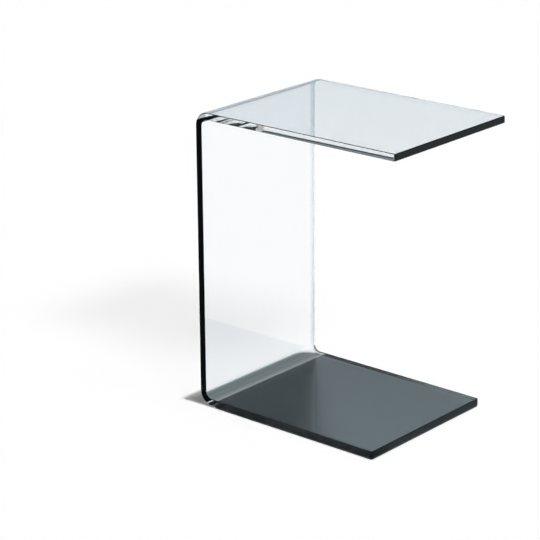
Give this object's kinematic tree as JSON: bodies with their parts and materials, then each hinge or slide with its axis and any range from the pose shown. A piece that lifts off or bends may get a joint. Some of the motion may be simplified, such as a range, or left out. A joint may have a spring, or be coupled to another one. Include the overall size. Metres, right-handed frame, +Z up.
{
  "type": "side table",
  "caption": "C-shaped side table of clear bent glass: the sheet forms top, upright wall and lower leg, with a dark plate bonded under the leg.",
  "frame": {"origin": "on the floor, under the middle of the top", "axes": "+Z up, +X from the upright wall to the free ends of the legs, +Y across the width"},
  "size_m": [0.42, 0.3, 0.53],
  "materials": {
    "glass": "clear, polished, ground arris",
    "bonding_film": "anthracite with metal flake, satin",
    "base_plate": "black powder coat",
    "floor_pad": "matt black foam rubber",
    "pad_adhesive": "translucent acrylic"
  },
  "bodies": {
    "root": {"bent_glass_sheet": "glass", "bonding_film": "bonding_film", "base_plate": "base_plate", "floor_pad_wall_left": "floor_pad", "floor_pad_wall_right": "floor_pad", "floor_pad_end_left": "floor_pad", "floor_pad_end_right": "floor_pad", "pad_adhesive_wall_left": "pad_adhesive", "pad_adhesive_wall_right": "pad_adhesive", "pad_adhesive_end_left": "pad_adhesive", "pad_adhesive_end_right": "pad_adhesive"}
  },
  "joints": []
}
